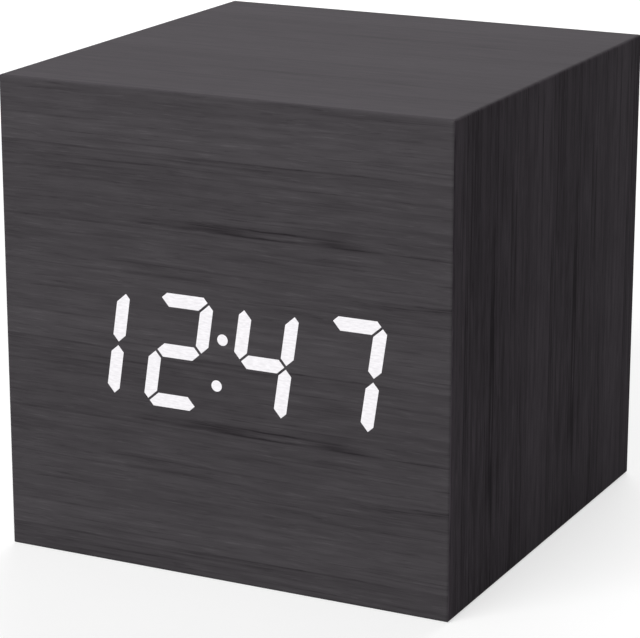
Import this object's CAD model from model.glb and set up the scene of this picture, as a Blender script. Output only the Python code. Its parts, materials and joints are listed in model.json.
"""Cube alarm clock in dark wood film: camera, light, finishes and softened mouldings."""
import json
import math

import bpy
from mathutils import Matrix, Vector


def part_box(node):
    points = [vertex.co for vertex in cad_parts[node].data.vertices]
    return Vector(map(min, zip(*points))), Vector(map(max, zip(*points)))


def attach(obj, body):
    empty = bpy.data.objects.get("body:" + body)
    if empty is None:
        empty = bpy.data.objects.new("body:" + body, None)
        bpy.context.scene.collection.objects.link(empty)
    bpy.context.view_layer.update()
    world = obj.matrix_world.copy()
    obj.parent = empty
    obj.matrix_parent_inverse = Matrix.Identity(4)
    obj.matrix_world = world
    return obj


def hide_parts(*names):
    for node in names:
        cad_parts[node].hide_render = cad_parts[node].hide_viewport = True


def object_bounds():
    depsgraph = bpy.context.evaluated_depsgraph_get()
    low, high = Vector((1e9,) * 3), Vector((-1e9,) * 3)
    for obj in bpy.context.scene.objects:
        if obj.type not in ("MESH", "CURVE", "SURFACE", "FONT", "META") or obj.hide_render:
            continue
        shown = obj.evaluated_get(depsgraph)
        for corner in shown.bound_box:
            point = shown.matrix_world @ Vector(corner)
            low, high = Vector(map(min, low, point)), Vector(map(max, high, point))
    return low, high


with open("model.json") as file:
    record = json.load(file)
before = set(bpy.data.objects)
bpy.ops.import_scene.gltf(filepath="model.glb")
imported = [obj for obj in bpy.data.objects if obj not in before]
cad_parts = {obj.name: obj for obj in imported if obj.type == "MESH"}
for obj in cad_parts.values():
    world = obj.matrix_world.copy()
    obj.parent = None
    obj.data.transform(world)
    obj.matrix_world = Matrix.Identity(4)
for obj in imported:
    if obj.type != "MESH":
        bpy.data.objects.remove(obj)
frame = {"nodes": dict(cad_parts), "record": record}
cad_low, cad_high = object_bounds()
nodes = frame["nodes"]
SLOTS = {row["node"]: row["material_slot"] for row in frame["record"]["subparts"]}
BODIES = {node: body for body, held in frame["record"]["behaviour"]["bodies"].items() for node in held}
scene = bpy.context.scene
scene.view_settings.view_transform = "Standard"


# Lengths below are in millimetres from the middle of the underside; Blender takes metres

MM = 0.001
CASE_TOP = cad_high.z / MM
CASE_SIDE = cad_high.x / MM
CASE_REAR = cad_high.y / MM
CELL_PITCH = 11.0


def measure(node):
    """Lowest corner, highest corner and middle of a node at rest."""
    low, high = (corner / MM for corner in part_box(node))
    return low, high, (low + high) / 2


# Camera

VIEW_AZIMUTH = math.radians(26.47)
VIEW_HEIGHT = math.radians(16.06)
VIEW_PLACE = Vector((-1.567, 25.29, 372.26))
VIEW_LENS = 154.74
VIEW_SENSOR = 36
VIEW_NEAR = 10


def set_camera():
    """Camera at the photograph's angle, with its place given along its own axes."""
    back = Vector((
        math.sin(VIEW_AZIMUTH) * math.cos(VIEW_HEIGHT),
        -math.cos(VIEW_AZIMUTH) * math.cos(VIEW_HEIGHT),
        math.sin(VIEW_HEIGHT),
    ))
    right = Vector((math.cos(VIEW_AZIMUTH), math.sin(VIEW_AZIMUTH), 0))
    turn = Matrix((right, back.cross(right), back)).transposed()
    bpy.ops.object.camera_add()
    camera = bpy.context.object
    camera.name = "photo_camera"
    camera.matrix_world = Matrix.LocRotScale(turn @ VIEW_PLACE * MM, turn.to_quaternion(), None)
    camera.data.lens = VIEW_LENS
    camera.data.sensor_width = VIEW_SENSOR
    camera.data.clip_start = VIEW_NEAR * MM
    scene.camera = camera


# Shader arithmetic

class Socket:
    """An output of a node; arithmetic on it adds Math nodes."""

    def __init__(self, tree, socket):
        self.tree = tree
        self.socket = socket

    def math(self, operation, *values):
        return self.tree.add("ShaderNodeMath", {"operation": operation}, values)

    def __add__(self, other):
        return self.math("ADD", self, other)

    def __sub__(self, other):
        return self.math("SUBTRACT", self, other)

    def __rsub__(self, other):
        return self.math("SUBTRACT", other, self)

    def __mul__(self, other):
        return self.math("MULTIPLY", self, other)

    def __truediv__(self, other):
        return self.math("DIVIDE", self, other)

    def __neg__(self):
        return self.math("MULTIPLY", self, -1)

    __radd__ = __add__
    __rmul__ = __mul__

    def size(self):
        return self.math("ABSOLUTE", self)

    def root(self):
        return self.math("SQRT", self)

    def fraction(self):
        return self.math("FRACT", self)

    def fade(self):
        """1 where the value is 0, falling towards 0 as it grows."""
        return self.math("EXPONENT", -self)

    def either(self, other):
        return self.math("MAXIMUM", self, other)

    def step(self, low, high):
        """0 below low and 1 above high, smooth between them; falls where low is the larger."""
        return self.tree.add(
            "ShaderNodeMapRange", {"interpolation_type": "SMOOTHSTEP"},
            {"Value": self, "From Min": low, "From Max": high},
        )


class Tree:
    """Node tree of a material or the world."""

    def __init__(self, tree):
        self.tree = tree

    def feed(self, socket, value):
        if isinstance(value, Socket):
            self.tree.links.new(value.socket, socket)
        else:
            socket.default_value = value

    def add(self, kind, settings=None, inputs=(), output=0):
        """Adds a node: its settings first, then the values or links of its sockets."""
        node = self.tree.nodes.new(kind)
        for key, value in (settings or {}).items():
            setattr(node, key, value)
        pairs = inputs.items() if isinstance(inputs, dict) else enumerate(inputs)
        for key, value in pairs:
            self.feed(node.inputs[key], value)
        return Socket(self, node.outputs[output])

    def seen_direct(self):
        """1 for rays from the camera, mirrors and glass, 0 for the rays that light things."""
        camera, glossy, through = (
            self.add("ShaderNodeLightPath", output=name)
            for name in ("Is Camera Ray", "Is Glossy Ray", "Is Transmission Ray")
        )
        return camera.either(glossy).either(through)


class Finish(Tree):
    """A material with a Principled shader."""

    def __init__(self, name):
        self.material = bpy.data.materials.new(name)
        self.material.use_nodes = True
        super().__init__(self.material.node_tree)
        self.shader = self.tree.nodes["Principled BSDF"]

    def set(self, values):
        for key, value in values.items():
            self.feed(self.shader.inputs[key], value)

    def fed(self, key):
        """What feeds a socket of the shader so far."""
        return Socket(self, self.shader.inputs[key].links[0].from_socket)

    def place(self):
        """Place on the object in millimetres, as three values."""
        spot = self.add("ShaderNodeTexCoord", output="Object")
        return [
            self.add("ShaderNodeSeparateXYZ", None, [spot], output=axis) / MM for axis in ("X", "Y", "Z")
        ]

    def noise(self, x, y, z, detail=2.0, roughness=0.5):
        """Noise between about 0 and 1 whose grain is one unit of x, y and z."""
        spot = self.add("ShaderNodeCombineXYZ", None, [x, y, z])
        return self.add(
            "ShaderNodeTexNoise", None,
            {"Vector": spot, "Scale": 1.0, "Detail": detail, "Roughness": roughness},
        )

    def cloud(self, spot, grain, detail=2.0, roughness=0.5):
        """Noise with the same size of grain every way."""
        return self.noise(*(axis / grain for axis in spot), detail, roughness)

    def mix(self, factor, first, second):
        return self.add("ShaderNodeMix", {"data_type": "RGBA"}, {0: factor, 6: first, 7: second}, output=2)

    def bump(self, height, depth, strength):
        return self.add(
            "ShaderNodeBump", None, {"Height": height, "Distance": depth * MM, "Strength": strength}
        )


def rgb(red, green, blue):
    return (red, green, blue, 1.0)


def grey(level):
    return rgb(level, level, level)


# Light and floor

AMBIENT = 0.20
LAMP_DISTANCE = 800
LAMP_SIZE = 550
LAMPS = {
    "front_lamp": (Vector((-0.24, -0.80, 0.48)), 6.1),
    "rear_lamp": (Vector((-0.10, 0.64, 0.77)), 4.2),
}
FLOOR_SIZE = 6000
FLOOR_DROP = 0.05
FLOOR_TONE = 0.42
FLOOR_SPECK = 9
FLOOR_SPECK_TONE = 0.01
FLOOR_LIFT = 0.64
FLOOR_NEAR = 100
FLOOR_FAR = 900


def set_light():
    """Soft light from in front and from behind, and a room that looks white where it is seen."""
    aim = Vector((0, 0, CASE_TOP / 2))
    for name, (way, power) in LAMPS.items():
        spot = aim + LAMP_DISTANCE * way.normalized()
        bpy.ops.object.light_add(type="AREA", location=spot * MM)
        lamp = bpy.context.object
        lamp.name = name
        lamp.rotation_euler = way.to_track_quat("Z", "Y").to_euler()
        lamp.data.size = LAMP_SIZE * MM
        lamp.data.energy = power
    world = bpy.data.worlds.new("white_room")
    world.use_nodes = True
    scene.world = world
    room = Tree(world.node_tree)
    background = world.node_tree.nodes["Background"]
    room.feed(background.inputs["Color"], grey(1.0))
    room.feed(background.inputs["Strength"], AMBIENT + (1 - AMBIENT) * room.seen_direct())


def set_floor():
    """Pale floor that reads as white where nothing shades it."""
    bpy.ops.object.select_all(action="DESELECT")
    bpy.ops.mesh.primitive_plane_add(size=FLOOR_SIZE * MM, location=(0, 0, -FLOOR_DROP * MM))
    floor = bpy.context.object
    floor.name = "floor"
    look = Finish("pale_floor")
    x, y, z = look.place()
    speck = look.noise(x / FLOOR_SPECK, y / FLOOR_SPECK, z)
    far = (x * x + y * y).root().step(FLOOR_NEAR, FLOOR_FAR)
    lift = look.seen_direct() * (FLOOR_LIFT + (1 - FLOOR_LIFT) * far)
    look.set({
        "Base Color": look.mix(speck, grey(FLOOR_TONE - FLOOR_SPECK_TONE), grey(FLOOR_TONE + FLOOR_SPECK_TONE)),
        "Roughness": 0.9,
        "Specular IOR Level": 0.0,
        "Emission Color": look.mix(lift, grey(0.0), grey(1.0)),
        "Emission Strength": 1.0,
    })
    floor.data.materials.append(look.material)


# Wood film: places on the print are given along its grain and across it, from the line of its knots

FILM_DARK = rgb(0.0186, 0.0158, 0.0186)
FILM_LIGHT = rgb(0.0920, 0.0844, 0.0920)
FILM_LEVEL = 0.57
FILM_SHINE = 0.006
PRINT_LEAD = 0.4
PRINT_DRIFT = 0.6
PRINT_SWAY = 0.5
THROUGH = 200.0
SLAT_JOINT = -8.45
SECOND_JOINT = -7.85
PALE_SLAT = 12.6
SLAT_EDGE = 0.15
WEAR = 0.08
WEAR_REACH = 0.32
WEAR_START = 0.05
RIM_START = 30.5
RIM_EDGE = 0.12

# Dark wings of a knot: strength, middle along the grain, reach and thickness
KNOT_WINGS = [(1.0, -1.0, 4.2, 0.66), (0.5, 4.0, 16.0, 0.62), (0.8, 15.4, 2.8, 0.58)]
KNOT_WAVER = 0.25

# Dashes: strength, middle along and across the grain, reach, thickness and lean
KNOT_RIMS = [(1.0, 7.5, -0.46, 6.0, 0.12), (1.0, 6.0, 0.48, 5.0, 0.13)]
KNOT_GLINTS = [(1.0, 9.0, 0.08, 4.0, 0.22)]
FLECKS = [
    (1.0, -11.5, 5.5, 5.0, 0.28),
    (0.8, -4.7, 6.9, 6.0, 0.14),
    (1.7, 27.5, 6.6, 6.5, 0.34, -0.04),
    (0.6, 25.0, 0.5, 8.0, 0.22),
    (0.3, -26.0, 3.6, 10.0, 0.30),
    (0.5, 24.0, -4.8, 11.0, 0.20),
    (0.6, -24.0, 10.0, 9.0, 0.18),
    (0.5, 12.0, 2.3, 9.0, 0.16),
    (0.4, 2.0, 3.6, 6.0, 0.25),
]


def dash(s, d, at, off, reach, thick, lean=0.0):
    """Soft dash along the grain, with its middle at (at, off)."""
    along = (s - at) / reach
    across = (d - (s - at) * lean - off) / thick
    return (along * along + across * across).fade()


def dashes(s, d, rows):
    return sum(strength * dash(s, d, *shape) for strength, *shape in rows)


def wing(s, d, at, reach, thick):
    """Dash on the line d = 0 with an even middle and firm edges."""
    along = (s - at) / reach
    across = d / thick
    across = across * across
    return (along * along + across * across).fade()


def worn_edges(x, y, z):
    """1 along the edges of the case, where two of its faces meet."""
    spans = ((x, 0, CASE_SIDE), (y, 0, CASE_REAR), (z, CASE_TOP / 2, CASE_TOP / 2))
    side, end, level = (
        (place - middle).size().step(half - WEAR_REACH, half - WEAR_START) for place, middle, half in spans
    )
    return (side * end).either(end * level).either(side * level)


def film(name, along, across, start, period, grain, figure, tint):
    """Printed wood film: s runs along the grain, and d across it from the knots of the print.

    The knots lie at start and repeat with the period; grain and figure set the strength of the
    fine grain and of the knots, and tint the colour of the ink.
    """
    dark, light = ([level * share for level, share in zip(ink, tint)] for ink in (FILM_DARK, FILM_LIGHT))
    look = Finish(name)
    x, y, z = spot = look.place()
    s = along(x, y, z)
    t = across(x, y, z)

    def layer(line, long, wide, cut, detail=2.0, roughness=0.5):
        """Marks that are long along the grain and wide across it, from one cut through the noise."""
        return look.noise(s / long, line / wide, cut, detail, roughness)

    drift = layer(t, long=26, wide=14, cut=2.5, detail=1.0)
    phase = ((t + (drift - 0.5) * PRINT_DRIFT - start) / period + PRINT_LEAD).fraction()
    d = (phase - PRINT_LEAD) * period
    sway = layer(d, long=11, wide=4, cut=5.5, detail=1.0)
    g = d + (sway - 0.5) * PRINT_SWAY

    fine = layer(g, long=13, wide=0.42, cut=1, detail=5.0, roughness=0.70)
    hairs = layer(g, long=14, wide=0.15, cut=4).step(0.56, 0.74)
    grooves = layer(d, long=45, wide=0.42, cut=12).step(0.60, 0.66)
    ticks = layer(g, long=4, wide=0.28, cut=15).step(0.60, 0.70)
    gleams = layer(g, long=4, wide=0.28, cut=18).step(0.60, 0.70)
    slats = layer(d, long=38, wide=0.95, cut=24)
    blots = layer(g, long=6, wide=0.9, cut=27)
    patches = layer(g, long=24, wide=2.4, cut=7)
    stripes = layer(g, long=7, wide=0.17, cut=9).step(0.40, 0.60)

    knot = d + (layer(d, long=2.5, wide=0.5, cut=21) - 0.5) * KNOT_WAVER
    wings = sum(strength * wing(s, knot, *shape) for strength, *shape in KNOT_WINGS)
    rims = dashes(s, knot, KNOT_RIMS)
    glints = dashes(s, knot, KNOT_GLINTS)
    flecks = dashes(s, d, FLECKS)
    darker = 0.6 + 0.6 * dash(s, d, at=7.0, off=SLAT_JOINT, reach=9.0, thick=1.0)
    joint = (
        dash(s, d, at=0.0, off=SLAT_JOINT, reach=THROUGH, thick=0.11) * darker
        + 0.5 * dash(s, d, at=-12.0, off=SECOND_JOINT, reach=30.0, thick=0.12)
    )
    pale = d.step(PALE_SLAT - SLAT_EDGE, PALE_SLAT + SLAT_EDGE).either(
        d.step(SLAT_JOINT + SLAT_EDGE, SLAT_JOINT - SLAT_EDGE)
    )
    shade = dash(s, d, at=0.0, off=-3.5, reach=THROUGH, thick=4.5)
    worn = worn_edges(x, y, z) * (0.5 + fine)

    texture = (
        0.50 * (fine - 0.5) + 0.20 * (patches - 0.5) + 0.28 * (slats - 0.5) + 0.34 * (blots - 0.5)
        - 0.08 * hairs - 0.11 * grooves - 0.13 * ticks + 0.14 * gleams
    )
    features = (
        0.07 * pale - 0.03 * shade + 0.22 * glints - 0.26 * wings * (0.7 + 0.3 * stripes) - 0.36 * rims
        - 0.28 * flecks * (0.3 + 0.7 * stripes) - 0.24 * joint
    )
    wood = look.mix(texture * grain + features * figure + WEAR * worn + FILM_LEVEL, dark, light)

    rim = y.step(RIM_START, RIM_START + RIM_EDGE)
    fibre = look.cloud(spot, 0.4, 3.0)
    mitre = (x.size() - (z - CASE_TOP / 2).size()).size().step(0.10, 0.04)
    paint = look.mix(mitre, look.mix(fibre, grey(0.018), grey(0.034)), grey(0.006))
    look.set({
        "Base Color": look.mix(rim, wood, paint),
        "Roughness": 0.50 + 0.10 * (fine - 0.5) + 0.12 * rim - 0.08 * worn,
        "Specular IOR Level": FILM_SHINE,
        "Normal": look.bump(fine - 0.5 * hairs, 0.02, 0.35),
    })
    return look


SIDE_STRETCH = 1.2
SIDE_SHIFT = 2.0
FILM_PRINTS = {
    "front_film": dict(
        along=lambda x, y, z: x, across=lambda x, y, z: CASE_TOP - z,
        start=16.4, period=25.4, grain=1.05, figure=1.05, tint=rgb(0.955, 0.968, 0.955),
    ),
    "top_board": dict(
        along=lambda x, y, z: x, across=lambda x, y, z: CASE_REAR - y,
        start=18.0, period=27.3, grain=0.60, figure=0.45, tint=rgb(1.055, 1.05, 1.055),
    ),
    "bottom_board": dict(
        along=lambda x, y, z: x, across=lambda x, y, z: y + CASE_REAR,
        start=10.0, period=27.3, grain=0.8, figure=0.8, tint=rgb(1.0, 1.0, 1.0),
    ),
    "right_board": dict(
        along=lambda x, y, z: (CASE_TOP / 2 + SIDE_SHIFT - z) / SIDE_STRETCH,
        across=lambda x, y, z: y + CASE_REAR,
        start=12.1, period=27.3, grain=2.3, figure=2.1, tint=rgb(1.005, 0.950, 1.005),
    ),
    "left_board": dict(
        along=lambda x, y, z: (CASE_TOP / 2 - SIDE_SHIFT - z) / SIDE_STRETCH,
        across=lambda x, y, z: CASE_REAR - y,
        start=15.3, period=27.3, grain=1.5, figure=1.2, tint=rgb(1.0, 1.0, 1.0),
    ),
}


# Lit segments

def glow():
    """White light with the print of the film faintly in it."""
    look = Finish("lit_white")
    x, y, z = look.place()
    mottle = look.noise(x / 0.9, y, z / 0.22, 3.0, 0.6).step(0.3, 0.7)
    look.set({
        "Base Color": grey(0.06),
        "Roughness": 0.5,
        "Emission Color": look.mix(mottle, rgb(0.75, 0.73, 0.76), rgb(0.89, 0.87, 0.90)),
        "Emission Strength": 1.0,
    })
    return look


# Plastics

def moulded(name, dark, light, grain, roughness, depth):
    """Moulded plastic with an eroded texture and faint rub marks."""
    look = Finish(name)
    x, y, z = spot = look.place()
    pits = look.cloud(spot, grain)
    rubs = look.noise(x / 7, y / 7, z / 2.5, 4.0, 0.65)
    look.set({
        "Base Color": look.mix(rubs * 0.6 + pits * 0.4, dark, light),
        "Roughness": roughness + 0.16 * (rubs - 0.5) + 0.06 * (pits - 0.5),
        "Specular IOR Level": 0.35,
        "Normal": look.bump(pits, depth, 0.5),
    })
    return look


def lens_resin():
    """Milky lens over a light chip."""
    look = Finish("milky_lens")
    cloud = look.cloud(look.place(), 1.2, 3.0)
    look.set({
        "Base Color": look.mix(cloud, rgb(0.58, 0.60, 0.63), rgb(0.72, 0.73, 0.74)),
        "Roughness": 0.26 + 0.14 * cloud,
        "Normal": look.bump(cloud, 0.02, 0.4),
    })
    return look


def chip_resin():
    """Yellow resin over the light chips."""
    look = Finish("chip_resin")
    cloud = look.cloud(look.place(), 0.4)
    look.set({
        "Base Color": look.mix(cloud, rgb(0.62, 0.53, 0.16), rgb(0.80, 0.74, 0.40)),
        "Roughness": 0.18 + 0.15 * cloud,
    })
    return look


# Boards, metal and wiring

NICKEL_DARK = rgb(0.46, 0.45, 0.43)
NICKEL_LIGHT = rgb(0.68, 0.67, 0.64)
RUN_PITCH = 1.6
RUN_SWAY = 1.1
FELT_DEPTH = 0.10
FELT_EDGE = 0.05
JACKET_TIP = 20.0
JACKET_FOOT = -21.8
JACKET_COLLAR = 10.4
JACKET_EDGE = 0.2
STRIPE_SIDE = -1.6
STRIPE_HALF = 1.3
STRIPE_EDGE = 0.1
SLEEVE_TOP = 0.35
RED_STRAND = 1.0
LINE_EDGE = 0.05


def raw_board():
    """Cut fibre board."""
    look = Finish("fibre_board")
    x, y, z = spot = look.place()
    fibre = look.cloud(spot, 0.5, 5.0, 0.7)
    layer = look.noise(x / 6, y / 6, z / 0.8, 3.0)
    look.set({
        "Base Color": look.mix(0.7 * fibre + 0.3 * layer, rgb(0.20, 0.12, 0.06), rgb(0.50, 0.35, 0.21)),
        "Roughness": 0.78 + 0.14 * fibre,
        "Normal": look.bump(fibre, 0.06, 0.6),
    })
    return look


def circuit_board():
    """Green lacquer over copper runs."""
    look = Finish("circuit_lacquer")
    x, y, z = spot = look.place()
    bend = look.cloud(spot, 5, 1.0)
    runs = ((x / RUN_PITCH + RUN_SWAY * bend).fraction() - 0.5).size()
    copper = runs.step(0.24, 0.18)
    weave = look.cloud(spot, 0.3)
    look.set({
        "Base Color": look.mix(copper, rgb(0.010, 0.065, 0.022), rgb(0.022, 0.120, 0.040)),
        "Roughness": 0.28 + 0.14 * weave,
        "Normal": look.bump(copper + 0.2 * weave, 0.03, 0.5),
    })
    return look


def plated(name, dark, light, roughness):
    """Plated sheet with rolling marks and dull spots."""
    look = Finish(name)
    x, y, z = spot = look.place()
    rolled = look.noise(x / 0.15, y / 4, z / 4, 3.0)
    dull = look.cloud(spot, 2.5, 4.0, 0.6)
    look.set({
        "Base Color": look.mix(0.5 * rolled + 0.5 * dull, dark, light),
        "Metallic": 1.0,
        "Roughness": roughness + 0.18 * (dull - 0.4) + 0.08 * (rolled - 0.5),
        "Normal": look.bump(rolled, 0.01, 0.3),
    })
    return look


def capsule():
    """Pressed can of the microphone with a felt disc on its face."""
    look = plated("capsule_can", NICKEL_DARK, NICKEL_LIGHT, 0.30)
    x, y, z = spot = look.place()
    _, high, _ = measure("microphone")
    face = y.step(high.y - FELT_DEPTH, high.y - FELT_DEPTH + FELT_EDGE)
    fuzz = look.cloud(spot, 0.12, 3.0)
    felt = look.mix(fuzz, grey(0.006), grey(0.020))
    look.set({
        "Base Color": look.mix(face, look.fed("Base Color"), felt),
        "Metallic": 1 - face,
        "Roughness": 0.32 + 0.6 * face,
    })
    return look


def cell_jacket():
    """Plain two-tone cell jacket with bare metal ends; the middle cell lies the other way round."""
    look = Finish("cell_jacket")
    x, y, z = look.place()
    low, high, mid = measure("battery_cells")
    row_half = (high.z - low.z) / 6
    turned = (z - mid.z).size().step(row_half + JACKET_EDGE / 2, row_half - JACKET_EDGE / 2)
    length = x * (1 - 2 * turned)
    tip = length.step(JACKET_TIP, JACKET_TIP + JACKET_EDGE)
    bare = tip.either(length.step(JACKET_FOOT, JACKET_FOOT - JACKET_EDGE))
    collar = length.step(JACKET_COLLAR, JACKET_COLLAR + JACKET_EDGE)
    scuff = look.noise(x / 3, y / 1.2, z / 1.2, 4.0, 0.6)
    jacket = look.mix(collar, rgb(0.075, 0.100, 0.090), rgb(0.50, 0.51, 0.49))
    scuffed = look.mix(scuff.step(0.55, 0.8) * 0.25, jacket, grey(0.35))
    look.set({
        "Base Color": look.mix(bare, scuffed, rgb(0.62, 0.61, 0.58)),
        "Metallic": bare,
        "Roughness": 0.26 + 0.18 * scuff,
        "Normal": look.bump(scuff, 0.02, 0.25),
    })
    return look


def capacitor_sleeve():
    """Dark sleeve with a pale stripe down one side and a bare top."""
    look = Finish("capacitor_sleeve")
    x, y, z = spot = look.place()
    _, high, mid = measure("capacitor")
    side = (x - mid.x).step(STRIPE_SIDE, STRIPE_SIDE - STRIPE_EDGE)
    stripe = side * (y - mid.y).size().step(STRIPE_HALF, STRIPE_HALF - STRIPE_EDGE)
    top = z.step(high.z - SLEEVE_TOP, high.z - SLEEVE_TOP + LINE_EDGE)
    cloud = look.cloud(spot, 1.5, 3.0)
    plain = look.mix(cloud, rgb(0.012, 0.020, 0.070), rgb(0.022, 0.034, 0.105))
    look.set({
        "Base Color": look.mix(top, look.mix(stripe, plain, rgb(0.45, 0.47, 0.50)), grey(0.62)),
        "Metallic": top,
        "Roughness": 0.25 + 0.15 * cloud,
    })
    return look


def flat_cable():
    """Grey cable of fused strands with a coloured edge strand."""
    look = Finish("flat_cable")
    x, y, z = spot = look.place()
    _, high, _ = measure("ribbon_cable")
    groove = (x.fraction() - 0.5).size().step(0.36, 0.5)
    edge = (x - high.x).step(-RED_STRAND, LINE_EDGE - RED_STRAND)
    cloud = look.cloud(spot, 2)
    body = look.mix(cloud, grey(0.38), grey(0.50))
    look.set({
        "Base Color": look.mix(groove * 0.6, look.mix(edge, body, rgb(0.45, 0.03, 0.03)), grey(0.10)),
        "Roughness": 0.42 + 0.16 * cloud,
        "Normal": look.bump(1 - groove, 0.12, 0.6),
    })
    return look


def sleeve(name, dark, light):
    """Soft wire sleeve."""
    look = Finish(name)
    cloud = look.cloud(look.place(), 1.4, 3.0)
    look.set({
        "Base Color": look.mix(cloud, dark, light),
        "Roughness": 0.36 + 0.16 * cloud,
        "Normal": look.bump(cloud, 0.01, 0.3),
    })
    return look


def make_finishes():
    """One finish for each material slot of the record apart from the wood film."""
    return {
        "raw_board": raw_board(),
        "glow": glow(),
        "black_plastic": moulded("black_moulding", grey(0.012), grey(0.024), 0.16, 0.50, 0.02),
        "button_plastic": moulded("button_moulding", grey(0.030), grey(0.046), 0.12, 0.36, 0.008),
        "switch_plastic": moulded("switch_moulding", grey(0.020), grey(0.034), 0.20, 0.42, 0.01),
        "white_plastic": moulded("white_moulding", grey(0.66), rgb(0.76, 0.76, 0.73), 0.25, 0.45, 0.01),
        "component_black": moulded("component_moulding", grey(0.010), grey(0.020), 0.12, 0.48, 0.015),
        "lens_resin": lens_resin(),
        "chip_resin": chip_resin(),
        "circuit_board": circuit_board(),
        "capacitor_sleeve": capacitor_sleeve(),
        "plated_steel": plated("nickel_plate", NICKEL_DARK, NICKEL_LIGHT, 0.28),
        "zinc_screw": plated("dark_zinc", rgb(0.16, 0.16, 0.17), rgb(0.34, 0.34, 0.35), 0.36),
        "cell_jacket": cell_jacket(),
        "flat_cable": flat_cable(),
        "red_sleeve": sleeve("red_sleeve", rgb(0.36, 0.012, 0.012), rgb(0.50, 0.03, 0.03)),
        "black_sleeve": sleeve("black_sleeve", grey(0.010), grey(0.020)),
    }


def dress_nodes():
    """Gives every node the finish of its slot, and each film board its own print."""
    for name, slot in SLOTS.items():
        look = film(name + "_print", **FILM_PRINTS[name]) if slot == "wood_film" else finishes[slot]
        nodes[name].material_slots[0].material = look.material
    nodes["microphone"].material_slots[0].material = capsule().material


# Modelling by hand

MERGE = 0.002
FLAT_ANGLE = math.radians(1)
BEVEL_ANGLE = math.radians(35)
SMOOTH_ANGLE = math.radians(40)
WIRE_ANGLE = math.radians(50)


def pick(piece):
    """Leaves only this piece selected."""
    bpy.ops.object.select_all(action="DESELECT")
    piece.select_set(True)
    bpy.context.view_layer.objects.active = piece


def modify(piece, kind, **settings):
    """Adds a modifier to the piece and applies it."""
    pick(piece)
    modifier = piece.modifiers.new(kind.lower(), kind)
    for key, value in settings.items():
        setattr(modifier, key, value)
    bpy.ops.object.modifier_apply(modifier=modifier.name)


def weld(piece):
    """Merges doubled corners, drops slivers and makes flat areas single faces."""
    pick(piece)
    bpy.ops.object.mode_set(mode="EDIT")
    bpy.ops.mesh.select_all(action="SELECT")
    bpy.ops.mesh.remove_doubles(threshold=MERGE * MM)
    bpy.ops.mesh.dissolve_degenerate(threshold=MERGE * MM)
    bpy.ops.mesh.dissolve_limited(angle_limit=FLAT_ANGLE)
    bpy.ops.object.mode_set(mode="OBJECT")


def soften(piece, width):
    """Rounds the sharp edges and smooths what is left."""
    modify(
        piece, "BEVEL", width=width * MM, segments=2, limit_method="ANGLE",
        angle_limit=BEVEL_ANGLE, use_clamp_overlap=False,
    )
    weld(piece)
    bpy.ops.object.shade_smooth_by_angle(angle=SMOOTH_ANGLE)
    modify(piece, "WEIGHTED_NORMAL", keep_sharp=True)


def settle(piece):
    """Puts the place, turn and scale of a piece into its mesh."""
    pick(piece)
    bpy.ops.object.transform_apply(location=True, rotation=True, scale=True)


def copy_of(piece, name, move):
    """Moved copy of a piece with its own mesh."""
    pick(piece)
    bpy.ops.object.duplicate(linked=False)
    twin = bpy.context.object
    twin.name = name
    twin.location = Vector(move) * MM
    settle(twin)
    return twin


def join(name, pieces):
    """Makes one piece of several."""
    pick(pieces[0])
    for piece in pieces:
        piece.select_set(True)
    bpy.ops.object.join()
    joined = bpy.context.object
    joined.name = name
    return joined


def finish(piece, slot, body):
    """Gives a piece its finish and the body that carries it."""
    piece.data.materials.clear()
    piece.data.materials.append(finishes[slot].material)
    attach(piece, body)


def stand_in(piece, node):
    """Lets a piece take the place of a node, with its finish and body."""
    finish(piece, SLOTS[node], BODIES[node])
    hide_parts(node)


# Mouldings, pressings and cells: the piece that stands for each node, and the width of its softened edges

SOFT_EDGES = {
    "rear_cover": ("cover_moulding", 0.15),
    "battery_door": ("door_moulding", 0.15),
    "set_button": ("set_cap", 0.12),
    "down_button": ("down_cap", 0.12),
    "up_button": ("up_cap", 0.12),
    "power_socket": ("socket_shell", 0.06),
    "cover_screws": ("cover_screw_heads", 0.05),
    "battery_cells": ("cell_cans", 0.10),
    "positive_terminal": ("positive_plate", 0.04),
    "negative_terminal": ("negative_plate", 0.04),
    "right_link": ("right_link_plate", 0.04),
    "left_link": ("left_link_plate", 0.04),
}


def make_soft_edges():
    """Merged copies of the nodes with their edges softened."""
    for node, (name, width) in SOFT_EDGES.items():
        piece = bpy.data.objects.new(name, nodes[node].data.copy())
        scene.collection.objects.link(piece)
        pick(piece)
        bpy.ops.mesh.customdata_custom_splitnormals_clear()
        weld(piece)
        soften(piece, width)
        stand_in(piece, node)


# Signs

SIGN_SINK = 0.05
SIGN_RISE = 0.08
CAP_SIGN_SINK = 0.20
CAP_SIGN_RISE = 0.04
CAP_WORD = 1.9
CAP_ARROW = 1.25
ARROW_EDGE = 0.03
LATCH_ARROW = 1.1
LATCH_ARROW_Z = 38.7
LATCH_FACE = 30.0
POLE_SIGN = 5.0
POLE_X = 20.5
DOOR_INNER = 28.4
TO_REAR = (math.pi / 2, 0, math.pi)
TO_FRONT = (math.pi / 2, 0, 0)


def word(name, text, size, at, turn, thick):
    """Raised word with its middle at a place."""
    bpy.ops.object.select_all(action="DESELECT")
    bpy.ops.object.text_add(location=Vector(at) * MM, rotation=turn)
    piece = bpy.context.object
    piece.name = name
    piece.data.body = text
    piece.data.size = size * MM
    piece.data.align_x = "CENTER"
    piece.data.align_y = "CENTER"
    piece.data.extrude = thick / 2 * MM
    bpy.ops.object.convert(target="MESH")
    piece = bpy.context.object
    settle(piece)
    weld(piece)
    return piece


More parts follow.
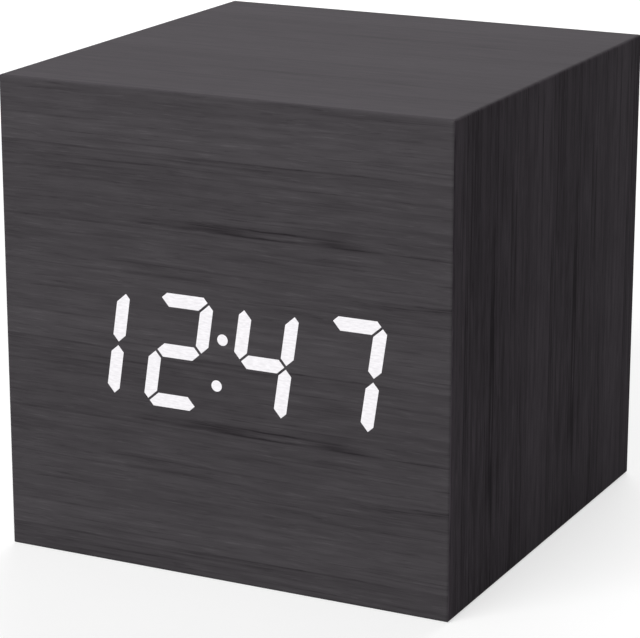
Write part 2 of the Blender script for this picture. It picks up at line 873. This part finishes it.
def arrow(name, radius, at, way, thick):
    """Raised triangle on a rear face; way is 1 where it points up and -1 where it points down."""
    bpy.ops.object.select_all(action="DESELECT")
    bpy.ops.mesh.primitive_cylinder_add(
        vertices=3, radius=radius * MM, depth=thick * MM, location=Vector(at) * MM,
        rotation=(math.pi / 2, 0 if way > 0 else math.pi, 0),
    )
    piece = bpy.context.object
    piece.name = name
    settle(piece)
    soften(piece, ARROW_EDGE)
    return piece


def make_cap_signs():
    """Word on the set cap and arrows on the other two."""
    thick = CAP_SIGN_SINK + CAP_SIGN_RISE
    spots = []
    for node in ("set_button", "down_button", "up_button"):
        _, high, mid = measure(node)
        spots.append((mid.x, high.y + (CAP_SIGN_RISE - CAP_SIGN_SINK) / 2, mid.z))
    signs = [
        word("set_sign", "SET", CAP_WORD, spots[0], TO_REAR, thick),
        arrow("down_sign", CAP_ARROW, spots[1], -1, thick),
        arrow("up_sign", CAP_ARROW, spots[2], 1, thick),
    ]
    for piece, body in zip(signs, ("set_key", "down_key", "up_key")):
        finish(piece, "white_plastic", body)


def make_door_signs():
    """Arrow on the latch, and the poles of the cells inside the door."""
    thick = SIGN_SINK + SIGN_RISE
    lift = (SIGN_RISE - SIGN_SINK) / 2
    latch = arrow("latch_arrow", LATCH_ARROW, (0, LATCH_FACE + lift, LATCH_ARROW_Z), -1, thick)
    finish(latch, "black_plastic", "door")
    _, _, cells = measure("battery_cells")
    for kind, pole, side in (("plus", "+", 1), ("minus", "-", -1)):
        spot = (side * POLE_X, DOOR_INNER - lift, cells.z - CELL_PITCH)
        first = word(f"{kind}_sign_1", pole, POLE_SIGN, spot, TO_FRONT, thick)
        poles = [
            first,
            copy_of(first, f"{kind}_sign_2", (-2 * side * POLE_X, 0, CELL_PITCH)),
            copy_of(first, f"{kind}_sign_3", (0, 0, 2 * CELL_PITCH)),
        ]
        for piece in poles:
            finish(piece, "black_plastic", "door")


# Wire

PLATE_FACE = 24.3
SPRING_WIRE = 0.6
SPRING_SEAT = 0.03
SPRING_LENGTH = 3.6
SPRING_BASE = 3.8
SPRING_END = 2.2
SPRING_TURNS = 3
SPRING_STEPS = 28
LEAD_THICK = 1.1
LEAD_STEPS = 8
RED_ROUTE = [
    (26.5, 23.5, 40.15), (26.6, 20, 40.3), (26.3, 15.5, 41.5), (25.8, 12.6, 45),
    (25.5, 11.4, 49), (25.3, 11, 51.4), (24.66, 11, 52.96), (23.15, 11, 53.6), (21.64, 11, 52.96),
    (21, 11, 51.4), (21, 11, 50.2),
]
BLACK_ROUTE = [
    (-26.5, 23.5, 18.15), (-26.6, 20, 18.3), (-26.3, 15.5, 19.5), (-25.9, 13, 24),
    (-25.7, 12.4, 32), (-25.6, 12, 42), (-25.5, 11.4, 48.6), (-25.3, 11, 51.4), (-24.66, 11, 52.96),
    (-23.15, 11, 53.6), (-21.64, 11, 52.96), (-21, 11, 51.4), (-21, 11, 50.2),
]
STRAND_THICK = 0.5
STRAND_GAP = 0.01
CABLE_BEND = 6.0
CABLE_BEND_STEPS = 12
WIRE_ROUNDING = 3
STRAND_ROUNDING = 1


def wire(name, points, thick, rounding=WIRE_ROUNDING):
    """Round wire through points, with closed ends."""
    data = bpy.data.curves.new(name, "CURVE")
    data.dimensions = "3D"
    data.bevel_depth = thick / 2 * MM
    data.bevel_resolution = rounding
    data.use_fill_caps = True
    line = data.splines.new("POLY")
    line.points.add(len(points) - 1)
    for spot, point in zip(line.points, points):
        spot.co = (*(Vector(point) * MM), 1)
    piece = bpy.data.objects.new(name, data)
    scene.collection.objects.link(piece)
    pick(piece)
    bpy.ops.object.convert(target="MESH")
    piece = bpy.context.object
    bpy.ops.object.mode_set(mode="EDIT")
    bpy.ops.mesh.select_all(action="SELECT")
    bpy.ops.mesh.remove_doubles(threshold=MERGE * MM)
    bpy.ops.mesh.normals_make_consistent(inside=False)
    bpy.ops.object.mode_set(mode="OBJECT")
    bpy.ops.object.shade_smooth_by_angle(angle=WIRE_ANGLE)
    return piece


def spring(name, side, mid_y, row_z):
    """Conical spring that stands on the end plate of its side."""
    points = []
    for step in range(SPRING_TURNS * SPRING_STEPS + 1):
        share = step / (SPRING_TURNS * SPRING_STEPS)
        turn = math.tau * SPRING_TURNS * share
        radius = SPRING_BASE + (SPRING_END - SPRING_BASE) * share
        rise = SPRING_WIRE / 2 + SPRING_SEAT + (SPRING_LENGTH - SPRING_WIRE - 2 * SPRING_SEAT) * share
        points.append((
            side * (PLATE_FACE - rise), mid_y + radius * math.sin(turn), row_z + radius * math.cos(turn),
        ))
    return wire(name, points, SPRING_WIRE)


def make_springs():
    """One spring on the right for the middle cell, and two on the left for the others."""
    _, _, cells = measure("battery_cells")
    right = spring("spring_right", 1, cells.y, cells.z)
    lower = spring("spring_left_low", -1, cells.y, cells.z - CELL_PITCH)
    upper = copy_of(lower, "spring_left_high", (0, 0, 2 * CELL_PITCH))
    stand_in(join("coiled_contacts", [right, lower, upper]), "contact_springs")


def smooth_route(points):
    """Smooth curve through the points of a route."""
    spots = [Vector(point) for point in points]
    route = []
    for i in range(len(spots) - 1):
        a, b, c, d = (spots[min(max(k, 0), len(spots) - 1)] for k in range(i - 1, i + 3))
        for k in range(LEAD_STEPS):
            t = k / LEAD_STEPS
            route.append(0.5 * (
                2 * b + (c - a) * t + (2 * a - 5 * b + 4 * c - d) * t ** 2 + (3 * b - a - 3 * c + d) * t ** 3
            ))
    return route + [spots[-1]]


def make_leads():
    """Leads from the battery terminals to the control board."""
    stand_in(wire("red_wire", smooth_route(RED_ROUTE), LEAD_THICK), "red_lead")
    stand_in(wire("black_wire", smooth_route(BLACK_ROUTE), LEAD_THICK), "black_lead")


def make_cable():
    """Flat cable of round strands side by side, with one bend between its sockets."""
    low, high, _ = measure("ribbon_cable")
    thick = STRAND_THICK
    top, front = high.z - thick / 2, low.y + thick / 2
    route = [(high.y, top)]
    for step in range(CABLE_BEND_STEPS + 1):
        turn = math.pi / 2 * (1 + step / CABLE_BEND_STEPS)
        route.append((front + CABLE_BEND * (1 + math.cos(turn)), top - CABLE_BEND * (1 - math.sin(turn))))
    route.append((front, low.z))
    first = wire(
        "strand_0", [(low.x + thick / 2, y, z) for y, z in route], thick - STRAND_GAP, STRAND_ROUNDING,
    )
    count = round((high.x - low.x) / thick)
    strands = [first] + [copy_of(first, f"strand_{i}", (i * thick, 0, 0)) for i in range(1, count)]
    stand_in(join("cable_strands", strands), "ribbon_cable")


# Contacts of the power socket

CONTACT_COUNT = 5
CONTACT_PITCH = 0.75
CONTACT_WIDE = 0.4
CONTACT_THICK = 0.1
CONTACT_SHORT = 0.6
CONTACT_BACK = 0.1
CONTACT_EDGE = 0.015


def make_socket_contacts():
    """Plated strips side by side under the tongue of the socket."""
    low, high, mid = measure("socket_tongue")
    spot = Vector((mid.x - (CONTACT_COUNT - 1) / 2 * CONTACT_PITCH, mid.y + CONTACT_BACK, low.z))
    bpy.ops.object.select_all(action="DESELECT")
    bpy.ops.mesh.primitive_cube_add(size=1, location=spot * MM)
    first = bpy.context.object
    first.name = "contact_0"
    first.scale = Vector((CONTACT_WIDE, high.y - low.y - CONTACT_SHORT, CONTACT_THICK)) * MM
    settle(first)
    soften(first, CONTACT_EDGE)
    strips = [first] + [
        copy_of(first, f"contact_{i}", (i * CONTACT_PITCH, 0, 0)) for i in range(1, CONTACT_COUNT)
    ]
    finish(join("socket_contacts", strips), "plated_steel", "case")


set_camera()
set_light()
set_floor()
finishes = make_finishes()
dress_nodes()
make_soft_edges()
make_cap_signs()
make_door_signs()
make_springs()
make_leads()
make_cable()
make_socket_contacts()
